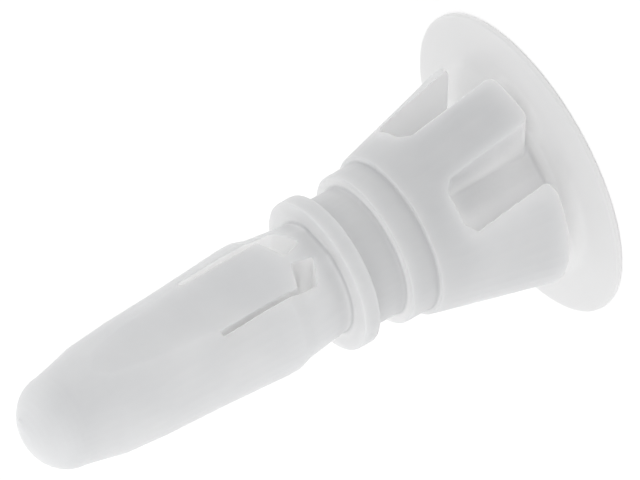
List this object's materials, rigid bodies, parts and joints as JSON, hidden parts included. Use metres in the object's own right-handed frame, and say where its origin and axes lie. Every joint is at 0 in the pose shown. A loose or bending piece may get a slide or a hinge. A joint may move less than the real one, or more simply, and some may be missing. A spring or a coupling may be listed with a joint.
{
  "type": "pcb standoff",
  "caption": "Snap-in circuit board standoff of natural nylon, with a thin round flange, spring barbs, a grooved stem with a board collar, and a long bullet nose.",
  "frame": {"origin": "centre of the flange's flat underside", "axes": "+Z along the stem to the tip of the nose; the two flats of the nose and the two ribs of the stem are on +X and -X; the two barbs are on +Y and -Y"},
  "size_m": [0.0102, 0.0102, 0.0187],
  "materials": {
    "nylon": "satin, milky natural nylon that lets some light through"
  },
  "bodies": {
    "root": {"standoff": "nylon"}
  },
  "joints": []
}
